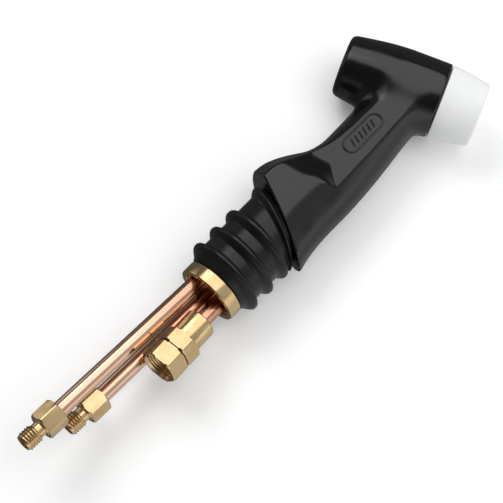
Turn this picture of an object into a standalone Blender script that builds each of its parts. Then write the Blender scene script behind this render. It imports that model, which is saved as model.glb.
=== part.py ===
"""Water-cooled TIG torch body: moulded handle and head, ribbed tail, three copper tubes and their fittings.

Metres, +Z up. The torch lies on its side: handle along X with the head at +X, the cup end towards -Y.
Lengths below are in millimetres and are turned into metres by MM.
"""
import math

import bmesh
import bpy
from mathutils import Matrix, Vector

MM = 0.001
GAP = 0.3                       # clearance between pieces that touch on the real torch

# Frame: the handle axis is parallel to X, at this place above the bench
AXIS_X = -27.49                 # world x of the rear face of the tail ring
AXIS_Y = 0.15
AXIS_Z = 16.9                   # the ribs just touch the bench

# Head barrel, along its own axis through HEAD_X on the handle axis
HEAD_X = 122.2
HEAD_DROP = 1.2                 # lets the barrel touch the bench together with the ribs
HEAD_ANGLE = math.radians(68.5)
HEAD_REAR = -29.9
HEAD_FRONT = 12.5
HEAD_R = 15.7
HEAD_REAR_FACE_R = 10.8
HEAD_CORNER_R = 13.1            # radius where the rear corner meets the barrel's side
HEAD_CORNER = 2.6
HEAD_BORE_R = 11.0
HEAD_REAR_HOLE_R = 6.4
HEAD_STEP = -24.0               # inner shoulder of the bore

# Shoulder and neck of the moulding
SLANT = 0.424                   # slope of the shoulder's rear edge
SHOULDER_X = 40.4
SOCKET_R = 12.9
SOCKET_END = 56.0
NECK_BORE_R = 9.2
NECK_BORE_Y = -0.8
NECK_BORE_END = 118.0

# Boot
BOOT_REAR = 5.7
BOOT_BORE_R = 10.8
ROOT_R = 14.5
RIB_R = 16.9
RIB_BEAD = 1.6
RIBS = ((10.9, 0.035), (19.9, 0.045), (28.7, 0.06))
SLANTED_RIB = (37.9, SLANT)
SLANTED_RIB_R = 16.3
SLANTED_RIB_BEAD = 1.3
SPIGOT_R = SOCKET_R - GAP
SPIGOT_END = 54.0

# Tail ring and tube plate
RING_R = 12.9
RING_BORE_R = 10.6
RING_LENGTH = 5.4
PLATE_REAR = 2.2
PLATE_FRONT = 4.7
PLATE_R = RING_BORE_R - GAP

# Tubes: outside radius, wall and (x, y, z) of their bends from the front end back
TUBE_R = 3.25
TUBE_WALL = 0.8
TUBE_FRONT = 102.0
GAS_REAR = (-75.8, 7.1, 10.4)
WATER_REAR = (-59.2, 2.0, -1.7)
POWER_REAR = (-15.9, -6.39, 2.9)
GAS_PLATE = (0.0, 5.8, 2.8)
WATER_PLATE = (0.0, 1.1, -5.3)
POWER_PLATE = (0.0, -5.63, 0.83)
GAS_NECK = (3.9, 2.6)
WATER_NECK = (-0.6, -4.8)
POWER_NECK = (-5.4, 2.2)
NECK_BEND = 62.0

# Male fittings on the gas and water tubes
HEX_AF = 10.3
HEX_LENGTH = 8.8
STEM_R = 3.1
STEM_LENGTH = 3.0
THREAD_R = 3.9
THREAD_LENGTH = 6.0
THREAD_BORE_R = 2.2
TUBE_SOCKET = 3.6

# Power and water-out fitting, measured along its own axis from the tail ring back
POWER_SLOPE = (0.048, -0.13)   # sideways and upward run of its axis per millimetre of x
SLEEVE_R = 6.35
SLEEVE_SIDES = 12
SLEEVE_FRONT = -9.5
HEX_A_FRONT = -19.8
HEX_A_REAR = -26.3
POWER_HEX_AF = 14.2
SPIGOT_POWER_R = 4.2
SPIGOT_POWER_END = -30.8
NUT_FRONT = -26.8
NUT_REAR = -34.8
NUT_BORE_R = 5.9
NUT_MOUTH_R = 6.5
NUT_CHAMFER = 0.6
NUT_NECK_R = SPIGOT_POWER_R + GAP
NUT_NECK_LENGTH = 1.6
POWER_BORE_R = 2.4
RETAINER_R = NUT_BORE_R - GAP
RETAINER_REAR = -30.3
RETAINER_LENGTH = 1.2

# Turn of each hexagon about its own axis
GAS_HEX_TURN = math.radians(-9.5)
WATER_HEX_TURN = math.radians(-21.5)
POWER_HEX_TURN = math.radians(26.5)

# Head core, water jacket and gasket, measured along the head axis
CORE_R = 7.2
CORE_BORE_R = 4.6
CORE_REAR = HEAD_STEP + GAP
CORE_FRONT = 21.0
JACKET_R = HEAD_BORE_R - GAP
JACKET_WALL = 1.0
JACKET_REAR = -20.0
JACKET_FRONT = 9.0
JACKET_RING = 3.0
SEAL_REAR = -23.4
SEAL_FRONT = -20.6
GASKET_REAR = HEAD_FRONT + GAP
GASKET_FRONT = 29.4
GASKET_REAR_R = 15.5
GASKET_FRONT_R = 13.2
GASKET_BORE_R = CORE_R + GAP + 0.1
GASKET_SEAT_R = 10.0
GASKET_SEAT = 22.0

SPACERS = (("rear_tube_spacer", 47.0, 50.0), ("front_tube_spacer", 76.0, 79.0))
MANIFOLD_REAR = 98.0
MANIFOLD_HALF_Y = 6.0
MANIFOLD_HALF_Z = 6.0

MATERIALS = {
    "moulded black": ((0.006, 0.006, 0.006), 0.22, 0.0),
    "black rubber": ((0.012, 0.011, 0.011), 0.45, 0.0),
    "brass": ((0.66, 0.42, 0.16), 0.25, 1.0),
    "copper": ((0.74, 0.33, 0.20), 0.22, 1.0),
    "white ptfe": ((0.80, 0.82, 0.81), 0.45, 0.0),
    "natural nylon": ((0.62, 0.58, 0.48), 0.5, 0.0),
    "red silicone": ((0.42, 0.05, 0.03), 0.5, 0.0),
}


def clear_scene():
    for item in list(bpy.data.objects):
        bpy.data.objects.remove(item, do_unlink=True)


def collection(name):
    made = bpy.data.collections.new(name)
    bpy.context.scene.collection.children.link(made)
    return made


def material(name):
    if name in bpy.data.materials:
        return bpy.data.materials[name]
    colour, roughness, metallic = MATERIALS[name]
    made = bpy.data.materials.new(name)
    made.use_nodes = True
    shader = made.node_tree.nodes["Principled BSDF"]
    shader.inputs["Base Color"].default_value = (*colour, 1.0)
    shader.inputs["Roughness"].default_value = roughness
    shader.inputs["Metallic"].default_value = metallic
    return made


def world(x, y, z):
    """A point given in millimetres from the tail ring's centre, in world metres."""
    return Vector((x + AXIS_X, y + AXIS_Y, z + AXIS_Z)) * MM


def along(start, direction):
    """Matrix that puts an object's origin at start and its Z axis along direction."""
    turn = Vector(direction).to_track_quat("Z", "Y").to_matrix().to_4x4()
    return Matrix.Translation(start) @ turn


HEAD_DIRECTION = Vector((math.cos(HEAD_ANGLE), -math.sin(HEAD_ANGLE), 0.0))
HEAD_MATRIX = along(world(HEAD_X, 0.0, -HEAD_DROP), HEAD_DIRECTION)
HANDLE_MATRIX = along(world(0.0, 0.0, 0.0), (1.0, 0.0, 0.0))
POWER_DIRECTION = Vector((1.0, *POWER_SLOPE)).normalized()
POWER_MATRIX = along(world(*POWER_PLATE), POWER_DIRECTION)


def add_object(name, mesh, place, colour, home):
    item = bpy.data.objects.new(name, mesh)
    item.matrix_world = place
    item.data.materials.append(material(colour))
    home.objects.link(item)
    if home is CUTTERS:
        item.hide_render = True
        item.display_type = "WIRE"
    return item


def turned(name, profile, place, colour, home, closed=True, steps=48):
    """Turn a profile of (radius, height) points in millimetres about the object's Z axis."""
    mesh = bpy.data.meshes.new(name)
    points = [(radius * MM, 0.0, height * MM) for radius, height in profile]
    edges = [(i, i + 1) for i in range(len(points) - 1)]
    if closed:
        edges.append((len(points) - 1, 0))
    mesh.from_pydata(points, edges, [])
    item = add_object(name, mesh, place, colour, home)
    screw = item.modifiers.new("Turn", "SCREW")
    screw.axis = "Z"
    screw.angle = math.tau
    screw.steps = steps
    screw.render_steps = steps
    screw.use_merge_vertices = True
    screw.merge_threshold = 0.00001
    return item


def ring(name, outer, inner, low, high, place, colour, home, steps=48):
    profile = [(outer, high), (outer, low), (inner, low), (inner, high)]
    return turned(name, profile, place, colour, home, steps=steps)


def rod(name, radius, low, high, place, colour, home, steps=48):
    profile = [(0.0, high), (radius, high), (radius, low), (0.0, low)]
    return turned(name, profile, place, colour, home, closed=False, steps=steps)


def prism(name, sides, radius, low, high, turn, place, colour, home):
    """A regular prism about the object's Z axis; radius runs to its corners."""
    shape = bmesh.new()
    middle = Matrix.Translation((0.0, 0.0, (high + low) / 2.0 * MM))
    bmesh.ops.create_cone(shape, cap_ends=True, segments=sides, radius1=radius * MM, radius2=radius * MM,
                          depth=(high - low) * MM, matrix=middle @ Matrix.Rotation(turn, 4, "Z"))
    mesh = bpy.data.meshes.new(name)
    shape.to_mesh(mesh)
    shape.free()
    return add_object(name, mesh, place, colour, home)


def hexagon(name, across_flats, low, high, turn, place, colour, home):
    return prism(name, 6, across_flats / 2.0 / math.cos(math.pi / 6.0), low, high, turn, place, colour, home)


def combine(item, other, operation):
    step = item.modifiers.new(operation.title() + " " + other.name, "BOOLEAN")
    step.object = other
    step.operation = operation
    step.solver = "EXACT"
    return item


def copper_tube(name, points):
    """A drawn tube through the points: an open bevelled curve made a mesh and given its wall."""
    curve = bpy.data.curves.new(name + "_path", "CURVE")
    curve.dimensions = "3D"
    curve.bevel_depth = TUBE_R * MM
    curve.bevel_resolution = 4
    spline = curve.splines.new("POLY")
    spline.points.add(len(points) - 1)
    for point, place in zip(spline.points, points):
        point.co = (*world(*place), 1.0)
    guide = bpy.data.objects.new(name + "_path", curve)
    CUTTERS.objects.link(guide)
    bpy.context.view_layer.update()
    mesh = bpy.data.meshes.new_from_object(guide.evaluated_get(bpy.context.evaluated_depsgraph_get()))
    bpy.data.objects.remove(guide, do_unlink=True)
    item = add_object(name, mesh, Matrix.Identity(4), "copper", PIECES)
    wall = item.modifiers.new("Wall", "SOLIDIFY")
    wall.thickness = TUBE_WALL * MM
    wall.offset = -1.0
    return item


def tube_points(rear, plate, neck):
    """Rear end, straight run through the plate, then an eased run into the neck and straight to the head."""
    points = [rear, plate, (14.0, plate[1], plate[2])]
    for share in (0.25, 0.5, 0.75):
        ease = share * share * (3.0 - 2.0 * share)
        points.append((14.0 + (NECK_BEND - 14.0) * share,
                       plate[1] + (neck[0] - plate[1]) * ease,
                       plate[2] + (neck[1] - plate[2]) * ease))
    points.append((NECK_BEND, *neck))
    points.append((TUBE_FRONT, *neck))
    return points


def neck_point(rear, plate, neck, x):
    """Where a tube's centre line crosses the plane at x."""
    points = tube_points(rear, plate, neck)
    for first, second in zip(points, points[1:]):
        if first[0] <= x <= second[0]:
            share = (x - first[0]) / (second[0] - first[0])
            return [a + (b - a) * share for a, b in zip(first, second)]
    raise ValueError("x is off the tube")


def section(x, slope, left, right, flat_left, flat_right, top, side):
    """Outline of the moulding at x: flat top, chamfer to the +Y side, long slope to the -Y side."""
    half = [(flat_left, top), (left, side), (left, -side), (flat_left, -top)]
    half += [(flat_right, -top), (right * 0.62 + flat_right * 0.38, -top * 0.74), (right, -side)]
    half += [(right, side), (right * 0.62 + flat_right * 0.38, top * 0.74), (flat_right, top)]
    return [(x + slope * y, y, z) for y, z in half]


HANDLE_SECTIONS = (
    #  x     slope  left  right  flats        top   side
    (40.4, SLANT, 20.9, -20.0, 14.2, -1.0, 16.0, 4.0),
    (46.0, 0.42, 20.4, -18.6, 14.0, -1.0, 16.0, 4.0),
    (53.0, 0.38, 18.4, -17.7, 12.4, -1.5, 15.6, 4.0),
    (60.0, 0.31, 15.6, -17.4, 10.2, -2.5, 14.6, 4.2),
    (68.0, 0.22, 12.2, -17.5, 7.8, -4.5, 13.0, 4.6),
    (77.0, 0.10, 10.6, -17.1, 6.6, -6.5, 12.2, 5.0),
    (88.0, 0.0, 10.4, -16.0, 6.4, -8.0, 12.0, 5.0),
    (100.0, 0.0, 10.8, -14.9, 6.6, -8.5, 12.0, 5.0),
    (116.0, 0.0, 12.0, -14.0, 7.0, -8.5, 12.0, 5.0),
)


def loft(name, rings, colour, home, capped=True):
    """Join closed outlines of equal length, in millimetres from the tail ring, by quads."""
    shape = bmesh.new()
    rows = [[shape.verts.new(world(*point)) for point in outline] for outline in rings]
    count = len(rows[0])
    pairs = list(zip(rows, rows[1:]))
    if not capped:
        pairs.append((rows[-1], rows[0]))
    for low, high in pairs:
        for i in range(count):
            j = (i + 1) % count
            shape.faces.new((low[i], low[j], high[j], high[i]))
    if capped:
        shape.faces.new(reversed(rows[0]))
        shape.faces.new(rows[-1])
    bmesh.ops.recalc_face_normals(shape, faces=shape.faces)
    mesh = bpy.data.meshes.new(name)
    shape.to_mesh(mesh)
    shape.free()
    return add_object(name, mesh, Matrix.Identity(4), colour, home)


def head_radius(t):
    """Radius of the moulded barrel at t along the head axis: a soft rear corner, then a slow swell."""
    if t < HEAD_REAR + HEAD_CORNER:
        share = (t - HEAD_REAR) / HEAD_CORNER
        round_part = math.sqrt(max(0.0, 1.0 - (1.0 - share) ** 2))
        return HEAD_REAR_FACE_R + (HEAD_CORNER_R - HEAD_REAR_FACE_R) * round_part
    share = (t - HEAD_REAR - HEAD_CORNER) / (HEAD_FRONT - HEAD_REAR - HEAD_CORNER)
    return HEAD_CORNER_R + (HEAD_R - HEAD_CORNER_R) * math.sin(min(1.0, share * 1.6) * math.pi / 2.0)


def make_moulding():
    """Handle, neck and head in one black moulding, hollow for the metalwork."""
    body = loft("body_moulding", [section(*row) for row in HANDLE_SECTIONS], "moulded black", PIECES)
    stations = [HEAD_FRONT - (HEAD_FRONT - HEAD_REAR) * i / 12.0 for i in range(12)]
    stations += [HEAD_REAR + 2.0, HEAD_REAR + 1.0, HEAD_REAR + 0.3, HEAD_REAR]
    profile = [(0.0, HEAD_FRONT)] + [(head_radius(t), t) for t in stations] + [(0.0, HEAD_REAR)]
    barrel = turned("barrel_add", profile, HEAD_MATRIX, "moulded black", CUTTERS, closed=False)
    combine(body, barrel, "UNION")
    combine(body, rod("socket_cut", SOCKET_R, 20.0, SOCKET_END, HANDLE_MATRIX, "moulded black", CUTTERS),
            "DIFFERENCE")
    neck_place = along(world(0.0, NECK_BORE_Y, 0.0), (1.0, 0.0, 0.0))
    combine(body, rod("neck_cut", NECK_BORE_R, 50.0, NECK_BORE_END, neck_place, "moulded black", CUTTERS),
            "DIFFERENCE")
    bore = [(0.0, 20.0), (HEAD_BORE_R, 20.0), (HEAD_BORE_R, HEAD_STEP), (HEAD_REAR_HOLE_R, HEAD_STEP),
            (HEAD_REAR_HOLE_R, HEAD_REAR - 5.0), (0.0, HEAD_REAR - 5.0)]
    combine(body, turned("head_cut", bore, HEAD_MATRIX, "moulded black", CUTTERS, closed=False),
            "DIFFERENCE")
    return body


def bead(x, slope, bead_half, top):
    """A rounded rib: (x, slope, radius) points over half a turn."""
    points = []
    for i in range(7):
        angle = math.pi * i / 6.0
        points.append((x - bead_half * math.cos(angle), slope, ROOT_R + (top - ROOT_R) * math.sin(angle)))
    return points


def make_boot():
    """Ribbed tail boot; every ring of points may lean, as the last rib does along the shoulder."""
    profile = [(BOOT_REAR, 0.0, 12.6), (BOOT_REAR + 2.2, 0.02, 13.2)]
    for x, slope in RIBS:
        profile += bead(x, slope, RIB_BEAD, RIB_R)
    profile += bead(SLANTED_RIB[0], SLANTED_RIB[1], SLANTED_RIB_BEAD, SLANTED_RIB_R)
    profile += [(SHOULDER_X - GAP, SLANT, ROOT_R), (SHOULDER_X - GAP, SLANT, SPIGOT_R)]
    profile += [(SPIGOT_END, 0.0, SPIGOT_R), (SPIGOT_END, 0.0, BOOT_BORE_R)]
    profile += [(BOOT_REAR, 0.0, BOOT_BORE_R)]
    count = 40
    rings = []
    for x, slope, radius in profile:
        outline = []
        for i in range(count):
            angle = math.tau * i / count
            y = radius * math.cos(angle)
            outline.append((x + slope * y, y, radius * math.sin(angle)))
        rings.append(outline)
    return loft("ribbed_boot", rings, "black rubber", PIECES, capped=False)


TUBES = (
    ("gas_tube", GAS_REAR, GAS_PLATE, GAS_NECK),
    ("water_in_tube", WATER_REAR, WATER_PLATE, WATER_NECK),
    ("power_tube", POWER_REAR, POWER_PLATE, POWER_NECK),
)


def drill_for_tubes(item, low, high):
    """Three clearance holes where the tubes cross between x = low and x = high."""
    middle = (low + high) / 2.0
    for name, rear, plate, neck in TUBES:
        start = neck_point(rear, plate, neck, middle - 0.5)
        end = neck_point(rear, plate, neck, middle + 0.5)
        direction = [b - a for a, b in zip(start, end)]
        hole = rod(item.name + "_" + name, TUBE_R + GAP, low - middle - 2.0, high - middle + 2.0,
                   along(world(*neck_point(rear, plate, neck, middle)), direction), "brass", CUTTERS, 24)
        combine(item, hole, "DIFFERENCE")


def make_tail():
    flange = [(RING_R, RING_LENGTH), (RING_R, 0.6), (RING_R - 0.6, 0.0), (RING_BORE_R + 0.4, 0.0),
              (RING_BORE_R, 0.4), (RING_BORE_R, RING_LENGTH)]
    turned("tail_ring", flange, HANDLE_MATRIX, "brass", PIECES)
    plate = rod("tube_plate", PLATE_R, PLATE_REAR, PLATE_FRONT, HANDLE_MATRIX, "copper", PIECES)
    drill_for_tubes(plate, PLATE_REAR, PLATE_FRONT)


def make_tubes():
    for name, rear, plate, neck in TUBES:
        copper_tube(name, tube_points(rear, plate, neck))
    for name, low, high in SPACERS:
        bore = BOOT_BORE_R if high < SOCKET_END else NECK_BORE_R
        middle = 0.0 if high < SOCKET_END else NECK_BORE_Y
        place = along(world(0.0, middle, 0.0), (1.0, 0.0, 0.0))
        spacer = rod(name, bore - GAP, low, high, place, "natural nylon", PIECES, 36)
        drill_for_tubes(spacer, low, high)


def make_male_fitting(name, rear, plate, turn):
    """Hexagon, relief and threaded nose brazed on a tube's rear end; local Z runs forward."""
    direction = Vector(plate) - Vector(rear)
    place = along(world(*rear), direction)
    front = TUBE_SOCKET
    hex_rear = front - HEX_LENGTH
    stem_rear = hex_rear - STEM_LENGTH
    tip = stem_rear - THREAD_LENGTH
    item = hexagon(name, HEX_AF, hex_rear, front, turn, place, "brass", PIECES)
    nose = [(0.0, hex_rear + 1.0), (STEM_R, hex_rear + 1.0), (STEM_R, stem_rear), (THREAD_R, stem_rear),
            (THREAD_R, tip + 0.5), (THREAD_R - 0.5, tip), (0.0, tip)]
    combine(item, turned(name + "_nose", nose, place, "brass", CUTTERS, closed=False, steps=32), "UNION")
    bore = [(0.0, front + 1.0), (TUBE_R + GAP, front + 1.0), (TUBE_R + GAP, -GAP), (THREAD_BORE_R, -GAP),
            (THREAD_BORE_R, tip - 1.0), (0.0, tip - 1.0)]
    combine(item, turned(name + "_bore", bore, place, "brass", CUTTERS, closed=False, steps=24),
            "DIFFERENCE")


def make_power_fitting():
    """Sleeve and fixed hexagon on the short tube, and the free union nut behind them."""
    fixed = hexagon("power_adaptor", POWER_HEX_AF, HEX_A_REAR, HEX_A_FRONT, POWER_HEX_TURN, POWER_MATRIX,
                    "brass", PIECES)
    combine(fixed, prism("adaptor_sleeve", SLEEVE_SIDES, SLEEVE_R, HEX_A_FRONT - 1.0, SLEEVE_FRONT,
                         POWER_HEX_TURN, POWER_MATRIX, "brass", CUTTERS), "UNION")
    stem = [(0.0, HEX_A_REAR + 1.0), (SPIGOT_POWER_R, HEX_A_REAR + 1.0),
            (SPIGOT_POWER_R, SPIGOT_POWER_END + 1.0), (SPIGOT_POWER_R - 1.0, SPIGOT_POWER_END),
            (0.0, SPIGOT_POWER_END)]
    combine(fixed, turned("adaptor_stem", stem, POWER_MATRIX, "brass", CUTTERS, closed=False, steps=36),
            "UNION")
    tube_end = POWER_REAR[0] - GAP
    bore = [(0.0, 0.0), (TUBE_R + GAP, 0.0), (TUBE_R + GAP, tube_end), (POWER_BORE_R, tube_end),
            (POWER_BORE_R, NUT_REAR), (0.0, NUT_REAR)]
    combine(fixed, turned("adaptor_bore", bore, POWER_MATRIX, "brass", CUTTERS, closed=False, steps=24),
            "DIFFERENCE")
    half = (NUT_FRONT - NUT_REAR) / 2.0
    nut_place = POWER_MATRIX @ Matrix.Translation((0.0, 0.0, (NUT_FRONT + NUT_REAR) / 2.0 * MM))
    nut = hexagon("union_nut", POWER_HEX_AF, -half, half, POWER_HEX_TURN, nut_place, "brass", PIECES)
    neck = half - NUT_NECK_LENGTH
    flare = (NUT_MOUTH_R - NUT_BORE_R) / NUT_CHAMFER
    hole = [(0.0, half + 1.0), (NUT_NECK_R, half + 1.0), (NUT_NECK_R, neck), (NUT_BORE_R, neck),
            (NUT_BORE_R, NUT_CHAMFER - half), (NUT_MOUTH_R + flare * 0.2, -half - 0.2), (0.0, -half - 0.2)]
    combine(nut, turned("nut_bore", hole, nut_place, "brass", CUTTERS, closed=False, steps=36),
            "DIFFERENCE")
    ring("nut_retainer", RETAINER_R, SPIGOT_POWER_R + GAP, RETAINER_REAR, RETAINER_REAR + RETAINER_LENGTH,
         POWER_MATRIX, "brass", PIECES, 36)


def make_head_metalwork():
    """Bored core with its water jacket, seals and the block that the tubes are brazed into."""
    core = [(CORE_R, CORE_FRONT), (CORE_R, CORE_REAR), (CORE_BORE_R + 0.6, CORE_REAR),
            (CORE_BORE_R, CORE_REAR + 1.0), (CORE_BORE_R, CORE_FRONT)]
    turned("head_core", core, HEAD_MATRIX, "brass", PIECES)
    ring("water_jacket", JACKET_R, JACKET_R - JACKET_WALL, JACKET_REAR, JACKET_FRONT, HEAD_MATRIX,
         "copper", PIECES)
    inner = CORE_R + GAP
    outer = JACKET_R - JACKET_WALL - GAP
    ring("jacket_rear_ring", outer, inner, JACKET_REAR, JACKET_REAR + JACKET_RING, HEAD_MATRIX, "brass",
         PIECES)
    ring("jacket_front_ring", outer, inner, JACKET_FRONT - JACKET_RING, JACKET_FRONT, HEAD_MATRIX, "brass",
         PIECES)
    ring("rear_seal", JACKET_R, inner, SEAL_REAR, SEAL_FRONT, HEAD_MATRIX, "red silicone", PIECES)
    ring("front_insulator", JACKET_R, inner, JACKET_FRONT + GAP, HEAD_FRONT, HEAD_MATRIX,
         "natural nylon", PIECES)
    block_points = []
    for x in (MANIFOLD_REAR, HEAD_X):
        block_points.append([(x, y * MANIFOLD_HALF_Y + NECK_BORE_Y, z * MANIFOLD_HALF_Z)
                             for y, z in ((1, 1), (-1, 1), (-1, -1), (1, -1))])
    block = loft("tube_manifold", block_points, "brass", PIECES)
    hollow = rod("manifold_saddle", JACKET_R + GAP + 0.1, -40.0, 40.0, HEAD_MATRIX, "brass", CUTTERS)
    combine(block, hollow, "DIFFERENCE")
    for name, rear, plate, neck in TUBES:
        hole = rod("manifold_" + name, TUBE_R + GAP, -5.0, TUBE_FRONT + GAP - MANIFOLD_REAR,
                   along(world(MANIFOLD_REAR, *neck), (1.0, 0.0, 0.0)), "brass", CUTTERS, 24)
        combine(block, hole, "DIFFERENCE")


def make_gasket():
    """Crowned cup gasket, a push fit on the nose of the core."""
    profile = []
    for i in range(9):
        share = 1.0 - i / 8.0
        radius = GASKET_REAR_R - (GASKET_REAR_R - GASKET_FRONT_R) * share ** 1.7
        profile.append((radius, GASKET_REAR + (GASKET_FRONT - GASKET_REAR) * share))
    profile += [(GASKET_BORE_R, GASKET_REAR), (GASKET_BORE_R, GASKET_SEAT), (GASKET_SEAT_R, GASKET_SEAT),
                (GASKET_SEAT_R, GASKET_FRONT)]
    turned("cup_gasket", profile, HEAD_MATRIX, "white ptfe", PIECES)


clear_scene()
PIECES = collection("tig_torch")
CUTTERS = collection("cutters")
make_moulding()
make_boot()
make_tail()
make_tubes()
make_male_fitting("gas_fitting", GAS_REAR, GAS_PLATE, GAS_HEX_TURN)
make_male_fitting("water_in_fitting", WATER_REAR, WATER_PLATE, WATER_HEX_TURN)
make_power_fitting()
make_head_metalwork()
make_gasket()
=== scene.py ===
"""Looks for a water-cooled TIG torch body: moulding, ribbed boot, copper tubes, brass fittings, gasket.

Shapes are worked out in millimetres from the middle of the tail ring's rear face, X forward along the
handle and Z up, and are moved into the frame by ORIGIN when a mesh is made.
"""
import math

import bmesh
import bpy
import numpy as np
from mathutils import Matrix, Vector

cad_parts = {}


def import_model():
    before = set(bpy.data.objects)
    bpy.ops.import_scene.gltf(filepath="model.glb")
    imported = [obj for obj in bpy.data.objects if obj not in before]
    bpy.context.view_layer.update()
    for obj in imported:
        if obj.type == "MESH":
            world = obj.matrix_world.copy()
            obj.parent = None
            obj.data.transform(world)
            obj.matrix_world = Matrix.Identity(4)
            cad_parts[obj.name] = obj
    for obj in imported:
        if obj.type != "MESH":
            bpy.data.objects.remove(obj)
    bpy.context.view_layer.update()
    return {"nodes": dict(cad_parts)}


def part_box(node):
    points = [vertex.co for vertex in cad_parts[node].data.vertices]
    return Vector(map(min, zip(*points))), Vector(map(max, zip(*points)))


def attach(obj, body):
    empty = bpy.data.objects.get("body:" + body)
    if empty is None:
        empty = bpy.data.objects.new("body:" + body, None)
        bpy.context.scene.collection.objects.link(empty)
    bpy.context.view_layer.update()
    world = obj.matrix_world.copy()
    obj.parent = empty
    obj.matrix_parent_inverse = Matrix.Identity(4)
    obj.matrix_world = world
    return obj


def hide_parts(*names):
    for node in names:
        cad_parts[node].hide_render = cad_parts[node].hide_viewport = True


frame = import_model()

bl_info = {
    "name": "TIG Torch Body",
    "version": (1, 0, 0),
    "blender": (4, 5, 0),
    "location": "View3D > Sidebar > Torch",
    "description": "Builds the visible pieces of a water-cooled TIG torch body",
    "category": "Object",
}

MM = 0.001
WELD = 0.000001                # points nearer than this are one
RING_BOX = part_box("tail_ring")
ORIGIN = Vector((RING_BOX[0][0], (RING_BOX[0][1] + RING_BOX[1][1]) / 2.0,
                 (RING_BOX[0][2] + RING_BOX[1][2]) / 2.0))

# Head barrel
HEAD_ANGLE = math.radians(68.5)
HEAD_X = 122.2
HEAD_DROP = 1.2
HEAD_REAR = -29.9
HEAD_FRONT = 12.5
HEAD_REAR_R = 13.1
HEAD_R = 15.7
HEAD_BORE_R = 11.0
HEAD_STEP = -24.0
REAR_HOLE_R = 6.4
CORE_R = 7.2
CORE_BORE_R = 4.6
CORE_REAR = -23.7
CORE_FRONT = 21.0

# Hexagons: width across flats, and how each is turned on its own tube
CORNER_SHARE = 0.985           # how far a turned-off corner reaches, as a share of the sharp one
CHAMFER_REACH = 0.62           # how far the end faces stay inside the corners
NOSE_HEX = 10.3
GAS_TURN = math.radians(-9.5)
WATER_TURN = math.radians(-21.5)
POWER_HEX = 14.2
POWER_TURN = math.radians(26.5)

# Gas and water noses, along their tubes from each tube's rear end
NOSE_HEX_FRONT = 3.6
NOSE_HEX_REAR = -5.2
NOSE_TUBE_R = 3.4              # hole that the tube is brazed into
NOSE_R = 3.4                   # under the thread
NOSE_NECK_R = 3.05
NOSE_BORE_R = 2.2
NOSE_THREAD = 5.3
NOSE_THREAD_REAR = -13.5
NOSE_REAR = -14.2

# Power adaptor and its nut, along the power tube from where it passes the tail ring's rear face
SLEEVE_FRONT = -9.5
SLEEVE_REAR = -20.2
SLEEVE_R = 6.27
SLEEVE_BORE_R = 3.55
ADAPTOR_HEX_FRONT = -19.8
ADAPTOR_HEX_REAR = -26.3
ADAPTOR_BORE_R = 3.6
SPIGOT_FRONT = -25.0
SPIGOT_REAR = -30.8
SPIGOT_R = 4.2
SPIGOT_BORE_R = 2.4
NUT_FRONT = -26.8
NUT_REAR = -34.8
NUT_HOLE_R = 4.5               # slides on the spigot
NUT_BORE_R = 5.9
NUT_THREAD = 3.6
NUT_THREAD_REAR = -34.15

# Tail ring and boot
RING_LENGTH = 5.4
RING_R = 12.9
RING_BORE_R = 10.6
BOOT_REAR = 5.7
BOOT_FRONT = 54.0
BOOT_R = 14.4
BOOT_SOCKET_R = 12.6           # where it stands inside the handle
BOOT_BORE_R = 10.8
BOOT_FLARE = 6.2               # where it starts to widen
FIRST_RIB = 10.9
LAST_RIB_END = 33.4
BEAD_X = 37.7

# Cup gasket, along the head
GASKET_FRONT = 29.4
GASKET_BORE_R = 7.6
GASKET_CUP_R = 10.0
GASKET_CUP_FLOOR = 22.0

# Handle. The rows below give its section at each station along X: how far the station leans, how far
# the sides reach to +Y and -Y, where the flat top ends on each side, and the height of the top.
SLANT = 0.424
SHOULDER_X = 40.4
SOCKET_R = 12.9
SOCKET_END = 56.0
NECK_BORE_R = 9.2
NECK_BORE_Y = -0.8
BADGE_HALF_LENGTH = 6.9
BADGE_HALF_WIDTH = 3.3
FACET_Z = 12.0
BADGE_X = 88.5
BADGE_Y = -0.9
SKIN_LOW = (29.0, -24.0, -19.5)       # box that the moulding is sampled in
SKIN_HIGH = (145.0, 37.0, 18.5)
STATIONS = (40.4, 46.0, 53.0, 60.0, 68.0, 77.0, 88.0, 100.0, 116.0)
SLOPES = (SLANT, 0.42, 0.38, 0.31, 0.22, 0.10, 0.0, 0.0, 0.0)
LEFT = (21.1, 20.6, 18.7, 15.9, 12.5, 10.9, 10.7, 11.1, 12.2)
RIGHT = (20.2, 18.9, 18.1, 17.9, 18.0, 17.6, 16.6, 15.4, 14.5)
FLAT_LEFT = (14.2, 14.0, 12.0, 9.0, 6.0, 4.6, 4.2, 4.6, 5.2)
FOLD = (0.0, 0.0, -1.0, -2.0, -4.0, -6.0, -7.5, -8.0, -8.0)
TOP = (16.0, 16.0, 16.0, 15.6, 15.0, 14.0, 13.2, 12.6, 12.4)

HEAD_DIRECTION = Vector((math.cos(HEAD_ANGLE), -math.sin(HEAD_ANGLE), 0.0))
POWER_PLATE = (0.0, -5.63, 0.83)
POWER_SLOPE = (0.048, -0.13)
GAS_REAR = (-75.8, 7.1, 10.4)
GAS_PLATE = (0.0, 5.8, 2.8)
WATER_REAR = (-59.2, 2.0, -1.7)
WATER_PLATE = (0.0, 1.1, -5.3)
POWER_REAR = (-15.9, -6.39, 2.9)
TUBE_PATHS = {
    "gas_tube": (GAS_REAR, GAS_PLATE, (3.9, 2.6)),
    "water_in_tube": (WATER_REAR, WATER_PLATE, (-0.6, -4.8)),
    "power_tube": (POWER_REAR, POWER_PLATE, (-5.4, 2.2)),
}
TUBE_FRONT = 102.0


# ---------------------------------------------------------------- placing and mesh making

def world(x, y, z):
    return Vector((x, y, z)) * MM + ORIGIN


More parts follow.
